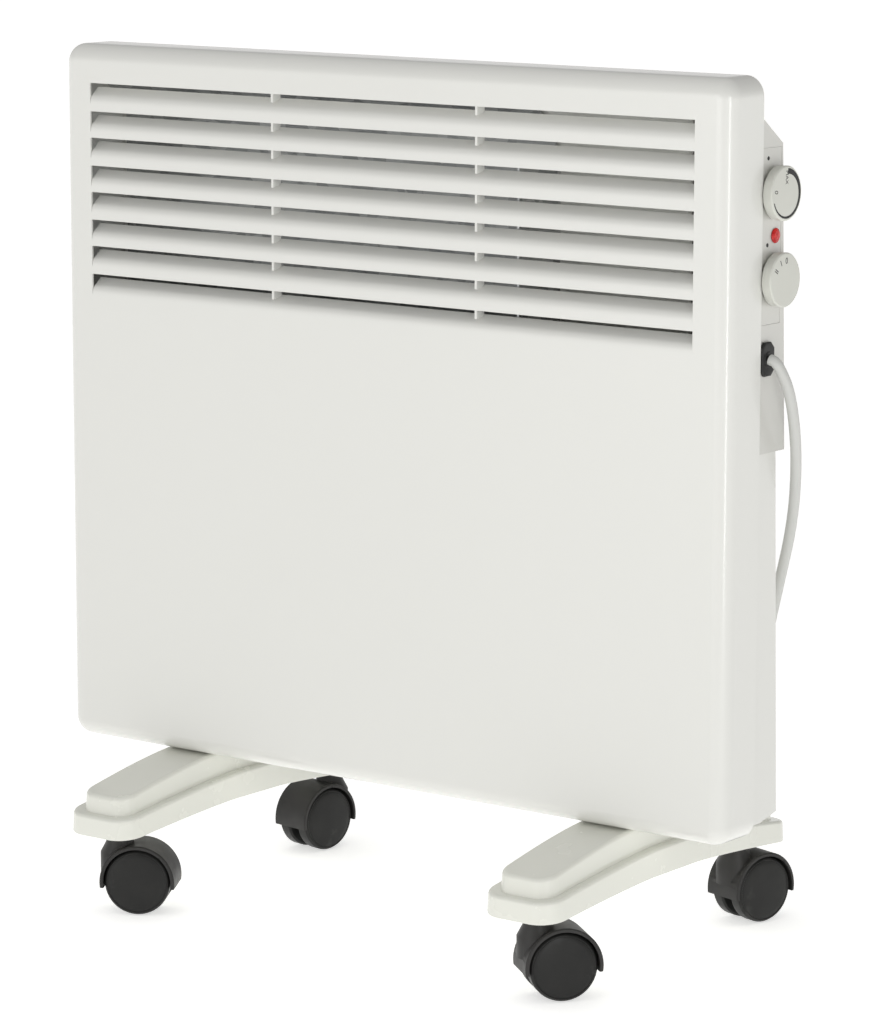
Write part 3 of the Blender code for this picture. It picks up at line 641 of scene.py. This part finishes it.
# Each tier: inset in plan, corner, bottom and top arch, edge and draft. An arch is its height at the
# ends, its height in the middle, and half the length of its flat.
LOWER_TIER = (0.0, 14.0, (46.2, 53.6, 20), (58.0, 69.0, 12), 1.8, 0.5)
UPPER_TIER = (5.5, 11.5, (50.2, 57.6, 20), (67.6, 81.9, 30), 2.2, 1.2)
TIER_FOOT = ((0.8, 0.0), (0.25, 0.2), (0.0, 0.8))  # rounding of a tier's lower edge: inset and rise
BOSS = ((-16, 16), (-11.6, -5.1), (70, 88.9))  # the tab that carries the casing


def arch_height(y, ends, middle, flat):
    share = min(max((abs(y) - flat) / (FOOT_HALF_L - flat), 0), 1)
    return middle + (ends - middle) * share ** ARCH_POWER


def plan(half_l, half_w, corner, inset):
    """Right-hand side of a rounded bar seen from above, from its front end to its back."""
    length, width, radius = half_l - inset, half_w - inset, max(corner - inset, 1.0)
    side = []
    for i in range(11):
        a = math.radians(90 * i / 10)
        side.append((width - radius + radius * math.sin(a), -length + radius - radius * math.cos(a)))
    straight = length - radius
    side += [(width, -straight + 2 * straight * i / 40) for i in range(1, 40)]
    return side + [(x, -y) for x, y in side[10::-1]]


def tier(bm, half_l, half_w, corner, bottom, top, edge, draft):
    """A bar that follows its arches, its walls drawn in by draft and its upper edge rounded."""
    levels = [(inset, bottom, rise) for inset, rise in TIER_FOOT]
    for i in range(7):
        a = math.radians(15 * i)
        levels.append((draft + edge * (1 - math.cos(a)), top, edge * math.sin(a) - edge))
    rings = []
    for inset, arch, rise in levels:
        side = plan(half_l, half_w, corner, inset)
        around = side + [(-x, y) for x, y in side[::-1]]
        rings.append([bm.verts.new((x, y, arch_height(y, *arch) + rise)) for x, y in around])
    count = len(rings[0])
    for low, high in zip(rings, rings[1:]):
        for i in range(count):
            j = (i + 1) % count
            bm.faces.new((low[i], low[j], high[j], high[i]))
    for ring, turn in ((rings[0], -1), (rings[-1], 1)):
        for i in range(count // 2 - 1):
            bm.faces.new((ring[i], ring[i + 1], ring[count - 2 - i], ring[count - 1 - i])[::turn])


for side_name in ("left", "right"):
    foot_low, foot_high = (measure(corner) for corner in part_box("foot_" + side_name))
    half_l, half_w = (foot_high.y - foot_low.y) / 2, (foot_high.x - foot_low.x) / 2
    bm = bmesh.new()
    for inset, *shape in (LOWER_TIER, UPPER_TIER):
        tier(bm, half_l - inset, half_w - inset, *shape)
    add_box(bm, *BOSS)
    foot = finish(bm, "foot_moulding_" + side_name, CREAM, 40)
    middle = at((foot_low.x + foot_high.x) / 2, (foot_low.y + foot_high.y) / 2, 0)
    place(foot, Matrix.Translation(middle))
    even_normals(foot)
    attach(foot, "heater")
    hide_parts("foot_" + side_name)


# ---------------------------------------------------------------- castors

WHEEL_R, WHEEL_IN, WHEEL_W = 18.75, 3.4, 9.4
FENDER_R, FENDER_IN_R, FENDER_HALF_W = 21.6, 19.5, 13.2
FENDER_ROUND = 0.7
HOOD_EDGE = 15.5  # height of the hood's lower edge over the floor
COLLAR_R, COLLAR_TOP = 8.0, 45.9
ROOT_R = 11.2  # radius of the collar's root, where it widens into the hood
TRAIL = 11.6
PIN_R, PIN_HOLE = 3.5, (17, 40)  # the stem's bore, with its heights over the axle


def wheel(name, side):
    """A castor wheel about its own centre, its domed face outward along side."""
    out = WHEEL_IN + WHEEL_W
    # Axle bore, tread with rounded shoulders, the fine groove round the rim, and the domed face
    profile = [(0, out - 2.4), (2.1, out - 2.4), (2.1, WHEEL_IN),
               (WHEEL_R - 1.0, WHEEL_IN), (WHEEL_R, WHEEL_IN + 1.0), (WHEEL_R, out - 2.2),
               (WHEEL_R - 0.9, out - 0.75), (WHEEL_R - 1.5, out - 0.55), (WHEEL_R - 1.9, out - 0.85),
               (WHEEL_R - 2.4, out - 0.6), (14.0, out - 0.28), (9.0, out - 0.08), (4.0, out), (0, out)]
    profile = eased(profile, {3: 0.4, 4: 0.6, 5: 0.9}, 4)
    if side > 0:
        profile = [(r, -h) for r, h in profile]
    return turned(name, profile, TREAD, "Y", steps=96, smooth=50)


def hood(name):
    """Fender over both wheels, its middle web and the collar round the stem, about the axle."""
    face_r, shoulder = FENDER_R - FENDER_ROUND, FENDER_HALF_W - FENDER_ROUND
    ring = [(0, -FENDER_HALF_W), (face_r, -FENDER_HALF_W), (FENDER_R, -shoulder),
            (FENDER_R, shoulder), (face_r, FENDER_HALF_W), (0, FENDER_HALF_W)]
    made = turned(name, ring, BLACK, "Y", steps=96)
    top = COLLAR_TOP - WHEEL_R
    neck = [(0, 4), (ROOT_R, 4), (ROOT_R, 15.5), (COLLAR_R, 21.5), (COLLAR_R, top - 0.5),
            (COLLAR_R - 0.5, top), (0, top)]
    combine(made, turned("neck", neck, None, centre=(-TRAIL, 0, 0), steps=64), "UNION")
    combine(made, cutter((-40, 40), (-20, 20), (-40, HOOD_EDGE - WHEEL_R)), "DIFFERENCE")
    for side in (-1, 1):
        low, high = sorted((side * (WHEEL_IN - 0.5), side * (FENDER_HALF_W + 5)))
        room = [(0, low), (FENDER_IN_R, low), (FENDER_IN_R, high), (0, high)]
        combine(made, turned("cut", room, None, "Y", steps=96), "DIFFERENCE")
    low, high = PIN_HOLE
    bore = [(0, low), (PIN_R, low), (PIN_R, high), (0, high)]
    combine(made, turned("cut", bore, None, centre=(-TRAIL, 0, 0), steps=40), "DIFFERENCE")
    soften(made, 35)
    return made


for corner_name in ("front_left", "front_right", "rear_left", "rear_right"):
    body = "castor_" + corner_name
    spin = JOINTS[body + "_wheel_a_spin"]
    axis = Vector(spin["axis"]).normalized()
    trail = axis.cross(Vector((0, 0, 1)))
    facing = Matrix((trail, axis, Vector((0, 0, 1)))).transposed().to_4x4()
    home = Matrix.Translation(Vector(spin["pos_m"])) @ facing
    fender = place(hood("fender_" + corner_name), home)
    bevel(fender, 0.35)
    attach(fender, body)
    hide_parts(body + "_hood")
    for letter, side in (("a", -1), ("b", 1)):
        disc = place(wheel("wheel_%s_%s" % (corner_name, letter), side), home)
        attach(disc, "%s_wheel_%s" % (body, letter))
        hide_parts("%s_wheel_%s" % (body, letter))


# ---------------------------------------------------------------- controls

INK_T, PRINT_LIFT = 0.03, 0.04  # half thickness of the print, and its height over the face
# Characters on each dial: name, text, size, radius and clock angle of its spot, and turn
THERMOSTAT_MARKS = (("zero", "0", 4.2, 10.0, 277, -83), ("top", "MAX", 3.4, 8.4, -1, 92))
SELECTOR_MARKS = (("off", "0", 4.6, 10.0, 4, 4), ("low", "I", 4.6, 10.0, -26, -26),
                  ("high", "II", 4.6, 10.0, -59, -59))
# Band printed round the thermostat's face, narrowing clockwise: radius and widths, then clock angles
SCALE_OUT, SCALE_THICK, SCALE_THIN, SCALE_TAPER = 13.2, 3.1, 0.7, 0.75
SCALE_FROM, SCALE_SWEEP, SCALE_STEPS, SCALE_SUNK = 4, 246, 60, -0.05
DOT_R, DOT_T, DOT_SHIFT = 1.1, 0.06, (-5.4, 18.2)  # index dot, from its knob's middle in y and z
SEAM, LIP_OUT = 0.02, 0.28  # from the plate's edge to the lip's inner and outer edge
LIP_FRONT, LIP_BACK = 0.35, 1.0  # depths behind the plate's face


def lettering(name, text, size, spot, turn):
    """Printed characters on a face that looks along +X, turned clockwise by degrees."""
    source = bpy.data.curves.new(name, "FONT")
    source.body, source.size, source.extrude = text, size * MM, INK_T * MM
    source.align_x = source.align_y = "CENTER"
    source.resolution_u = 4
    holder = bpy.data.objects.new(name, source)
    bpy.context.scene.collection.objects.link(holder)
    bpy.context.view_layer.update()
    mesh = bpy.data.meshes.new_from_object(holder.evaluated_get(bpy.context.evaluated_depsgraph_get()))
    bpy.data.objects.remove(holder)
    mesh.materials.clear()
    mesh.materials.append(INK)
    upright = Matrix(((0, 0, 1), (1, 0, 0), (0, 1, 0))).to_4x4()
    mesh.transform(Matrix.Translation(at(*spot)) @ upright @ Matrix.Rotation(math.radians(-turn), 4, "Z"))
    made = bpy.data.objects.new(name, mesh)
    bpy.context.scene.collection.objects.link(made)
    return made


def on_dial(centre, face, radius, clock):
    """A point on a dial at a clock angle in degrees, seen from outside."""
    a = math.radians(clock)
    return (face, centre[0] + radius * math.sin(a), centre[1] + radius * math.cos(a))


def knob(kind):
    """The knob with its skirt, over its CAD; gives the middle of its face and where print lies on it."""
    low, high = (measure(corner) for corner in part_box(kind + "_knob"))
    centre, face = ((low.y + high.y) / 2, (low.z + high.z) / 2), high.x
    # Radius, and height over the face
    profile = [(0, -2.1), (3.3, -2.1), (3.3, low.x - face), (11.6, low.x - face), (11.8, -5.7),
               (14.3, -5.7), (14.5, -0.7), (13.9, 0), (0, 0)]
    profile = eased(profile, {4: 0.2, 5: 0.4, 6: 0.3, 7: 0.35})
    made = turned(kind + "_dial", profile, KNOB, "X", (face, *centre), 96, 30)
    place(made, ABOUT)
    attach(made, kind + "_control")
    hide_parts(kind + "_knob")
    return centre, face + PRINT_LIFT


def printed(made, body):
    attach(made, body)


def print_marks(kind, centre, face, marks):
    for label, text, size, radius, clock, turn in marks:
        spot = on_dial(centre, face, radius, clock)
        printed(lettering("%s_%s" % (kind, label), text, size, spot, turn), kind + "_control")


thermo_centre, thermo_face = knob("thermostat")
bm = bmesh.new()
arc = []
for i in range(SCALE_STEPS + 1):
    share = i / SCALE_STEPS
    clock = SCALE_FROM + SCALE_SWEEP * share
    inner = SCALE_OUT - (SCALE_THICK + (SCALE_THIN - SCALE_THICK) * share ** SCALE_TAPER)
    section = ((inner, SCALE_SUNK), (SCALE_OUT, SCALE_SUNK), (SCALE_OUT, 0.0), (inner, 0.0))
    arc.append([on_dial(thermo_centre, thermo_face + lift, radius, clock) for radius, lift in section])
add_loft(bm, arc)
printed(place(finish(bm, "thermostat_scale", INK), ABOUT), "thermostat_control")
print_marks("thermostat", thermo_centre, thermo_face, THERMOSTAT_MARKS)
select_centre, select_face = knob("selector")
print_marks("selector", select_centre, select_face, SELECTOR_MARKS)

# Index dots on the plate over each knob
plate_low, plate_high = (measure(corner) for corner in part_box("control_plate"))
for kind, centre in (("thermostat", thermo_centre), ("selector", select_centre)):
    dot = [(0, 0), (DOT_R, 0), (DOT_R, DOT_T), (0, DOT_T)]
    spot = (plate_high.x, centre[0] + DOT_SHIFT[0], centre[1] + DOT_SHIFT[1])
    printed(place(turned(kind + "_index", dot, INK, "X", spot, 32), ABOUT), "heater")

# Lip behind the plate's edge, which keeps its seam shallow
lip_x = (plate_high.x - LIP_BACK, plate_high.x - LIP_FRONT)
bm = bmesh.new()
for z in ((plate_low.z - LIP_OUT, plate_low.z - SEAM), (plate_high.z + SEAM, plate_high.z + LIP_OUT)):
    add_box(bm, lip_x, (plate_low.y - LIP_OUT, plate_high.y + LIP_OUT), z)
for y in ((plate_low.y - LIP_OUT, plate_low.y - SEAM), (plate_high.y + SEAM, plate_high.y + LIP_OUT)):
    add_box(bm, lip_x, y, (plate_low.z, plate_high.z))
lip_frame = place(finish(bm, "plate_lip", PAINT), ABOUT)
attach(lip_frame, "heater")

# Gland: eight-sided flange with a lip round the lead, and the neck that tapers inside the box
FLANGE_T, FLANGE_CUT, CUT_SHARE = 2.5, 3.0, 0.4
FLANGE_ROUND = ((0.3, 0), (0, 0.3), (0, 1.5), (0.25, 1.9), (0.7, 2.1), (1.6, 2.1))  # inset and depth
NECK_X, NECK_R = 222, 4.3  # where the neck has its full radius
gland_from, gland_to = measure(gland_low), measure(gland_high)
gland = measure(cord_exit)
flange_in = gland_to.x - FLANGE_T


def flange_loop(inset, x):
    half_y, half_z = (gland_to.y - gland_from.y) / 2 - inset, (gland_to.z - gland_from.z) / 2 - inset
    cut = FLANGE_CUT - inset * CUT_SHARE
    corners = ((cut - half_y, -half_z), (half_y - cut, -half_z), (half_y, cut - half_z),
               (half_y, half_z - cut), (half_y - cut, half_z), (cut - half_y, half_z),
               (-half_y, half_z - cut), (-half_y, cut - half_z))
    return [(x, gland.y + across, gland.z + up) for across, up in corners]


bm = bmesh.new()
add_loft(bm, [flange_loop(inset, flange_in + depth) for inset, depth in FLANGE_ROUND])
lip = [(0, gland_from.x), (3.4, gland_from.x), (NECK_R, NECK_X), (NECK_R, flange_in + 2.0),
       (4.1, flange_in + 2.35), (3.7, flange_in + 2.5), (3.2, flange_in + 2.4), (3.1, flange_in + 1.6),
       (0, flange_in + 1.6)]
add_turned(bm, lip, "X", (0, gland.y, gland.z), 48)
boot = place(finish(bm, "gland_nut", RUBBER, 30), ABOUT)
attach(boot, "heater")
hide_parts("cord_gland")


# ---------------------------------------------------------------- floor and light

FLOOR_HALF = 30000.0
FLOOR_DROP = 0.0004  # metres below the wheels
FLOOR_GLOW = 0.57
floor_look = surface("studio_floor", (0.93, 0.93, 0.925), 0.8, 0.004, 1.5, 60.0, 0.02, 0.0002)
bm = bmesh.new()
corners = ((-1, -1), (1, -1), (1, 1), (-1, 1))
bm.faces.new([bm.verts.new((x * FLOOR_HALF, y * FLOOR_HALF, 0)) for x, y in corners])
floor = finish(bm, "floor", floor_look)
floor_shader = floor_look.node_tree.nodes["Principled BSDF"]
floor_shader.inputs["Emission Color"].default_value = (1.0, 1.0, 0.99, 1.0)
floor_shader.inputs["Emission Strength"].default_value = FLOOR_GLOW
floor.location.z = -FLOOR_DROP

# The sky's level all round, what is added overhead, and the share lost towards +X
SKY_BASE, SKY_TOP, SKY_SIDE = 0.25, 0.50, 0.40
SKY_GLOW, GLOW_REACH = 0.66, 0.30  # glow along the horizon, and the height where it ends


def maths(tree, operation, *terms, use_clamp=False):
    """Output socket of a math node; each term is a socket or a number."""
    made = node(tree, "ShaderNodeMath", operation=operation, use_clamp=use_clamp)
    for socket, term in zip(made.inputs, terms):
        if isinstance(term, float):
            socket.default_value = term
        else:
            tree.links.new(term, socket)
    return made.outputs[0]


world = bpy.data.worlds.new("studio")
world.use_nodes = True
sky = world.node_tree
split = node(sky, "ShaderNodeSeparateXYZ")
sky.links.new(node(sky, "ShaderNodeTexCoord").outputs["Generated"], split.inputs["Vector"])
height = split.outputs["Z"]
overhead = maths(sky, "MULTIPLY_ADD", maths(sky, "MULTIPLY", height, height), SKY_TOP, SKY_BASE)
aside = maths(sky, "MULTIPLY_ADD", split.outputs["X"], -SKY_SIDE, 1.0)
near = maths(sky, "MULTIPLY_ADD", maths(sky, "ABSOLUTE", height), -1 / GLOW_REACH, 1.0, use_clamp=True)
level_all = maths(sky, "MULTIPLY_ADD", near, SKY_GLOW, maths(sky, "MULTIPLY", overhead, aside))
backdrop = sky.nodes["Background"]
backdrop.inputs["Color"].default_value = (1.0, 0.995, 0.985, 1.0)
sky.links.new(level_all, backdrop.inputs["Strength"])
bpy.context.scene.world = world
bpy.context.scene.view_settings.view_transform = "Standard"


def softbox(name, spot, target, width, height, watts):
    """An oblong area light, with places and sizes in metres."""
    data = bpy.data.lights.new(name, "AREA")
    data.shape, data.size, data.size_y, data.energy = "RECTANGLE", width, height, watts
    made = bpy.data.objects.new(name, data)
    bpy.context.scene.collection.objects.link(made)
    made.location = spot
    made.rotation_euler = (Vector(target) - Vector(spot)).to_track_quat("-Z", "Y").to_euler()
    return made


key = softbox("key", spot=(1.16, -0.72, 0.38), target=(0.23, 0, 0.34), width=0.14, height=0.8, watts=2.4)
key.visible_camera = False
softbox("front", spot=(-0.45, -2.6, 0.62), target=(0, 0, 0.36), width=1.8, height=0.9, watts=7.0)
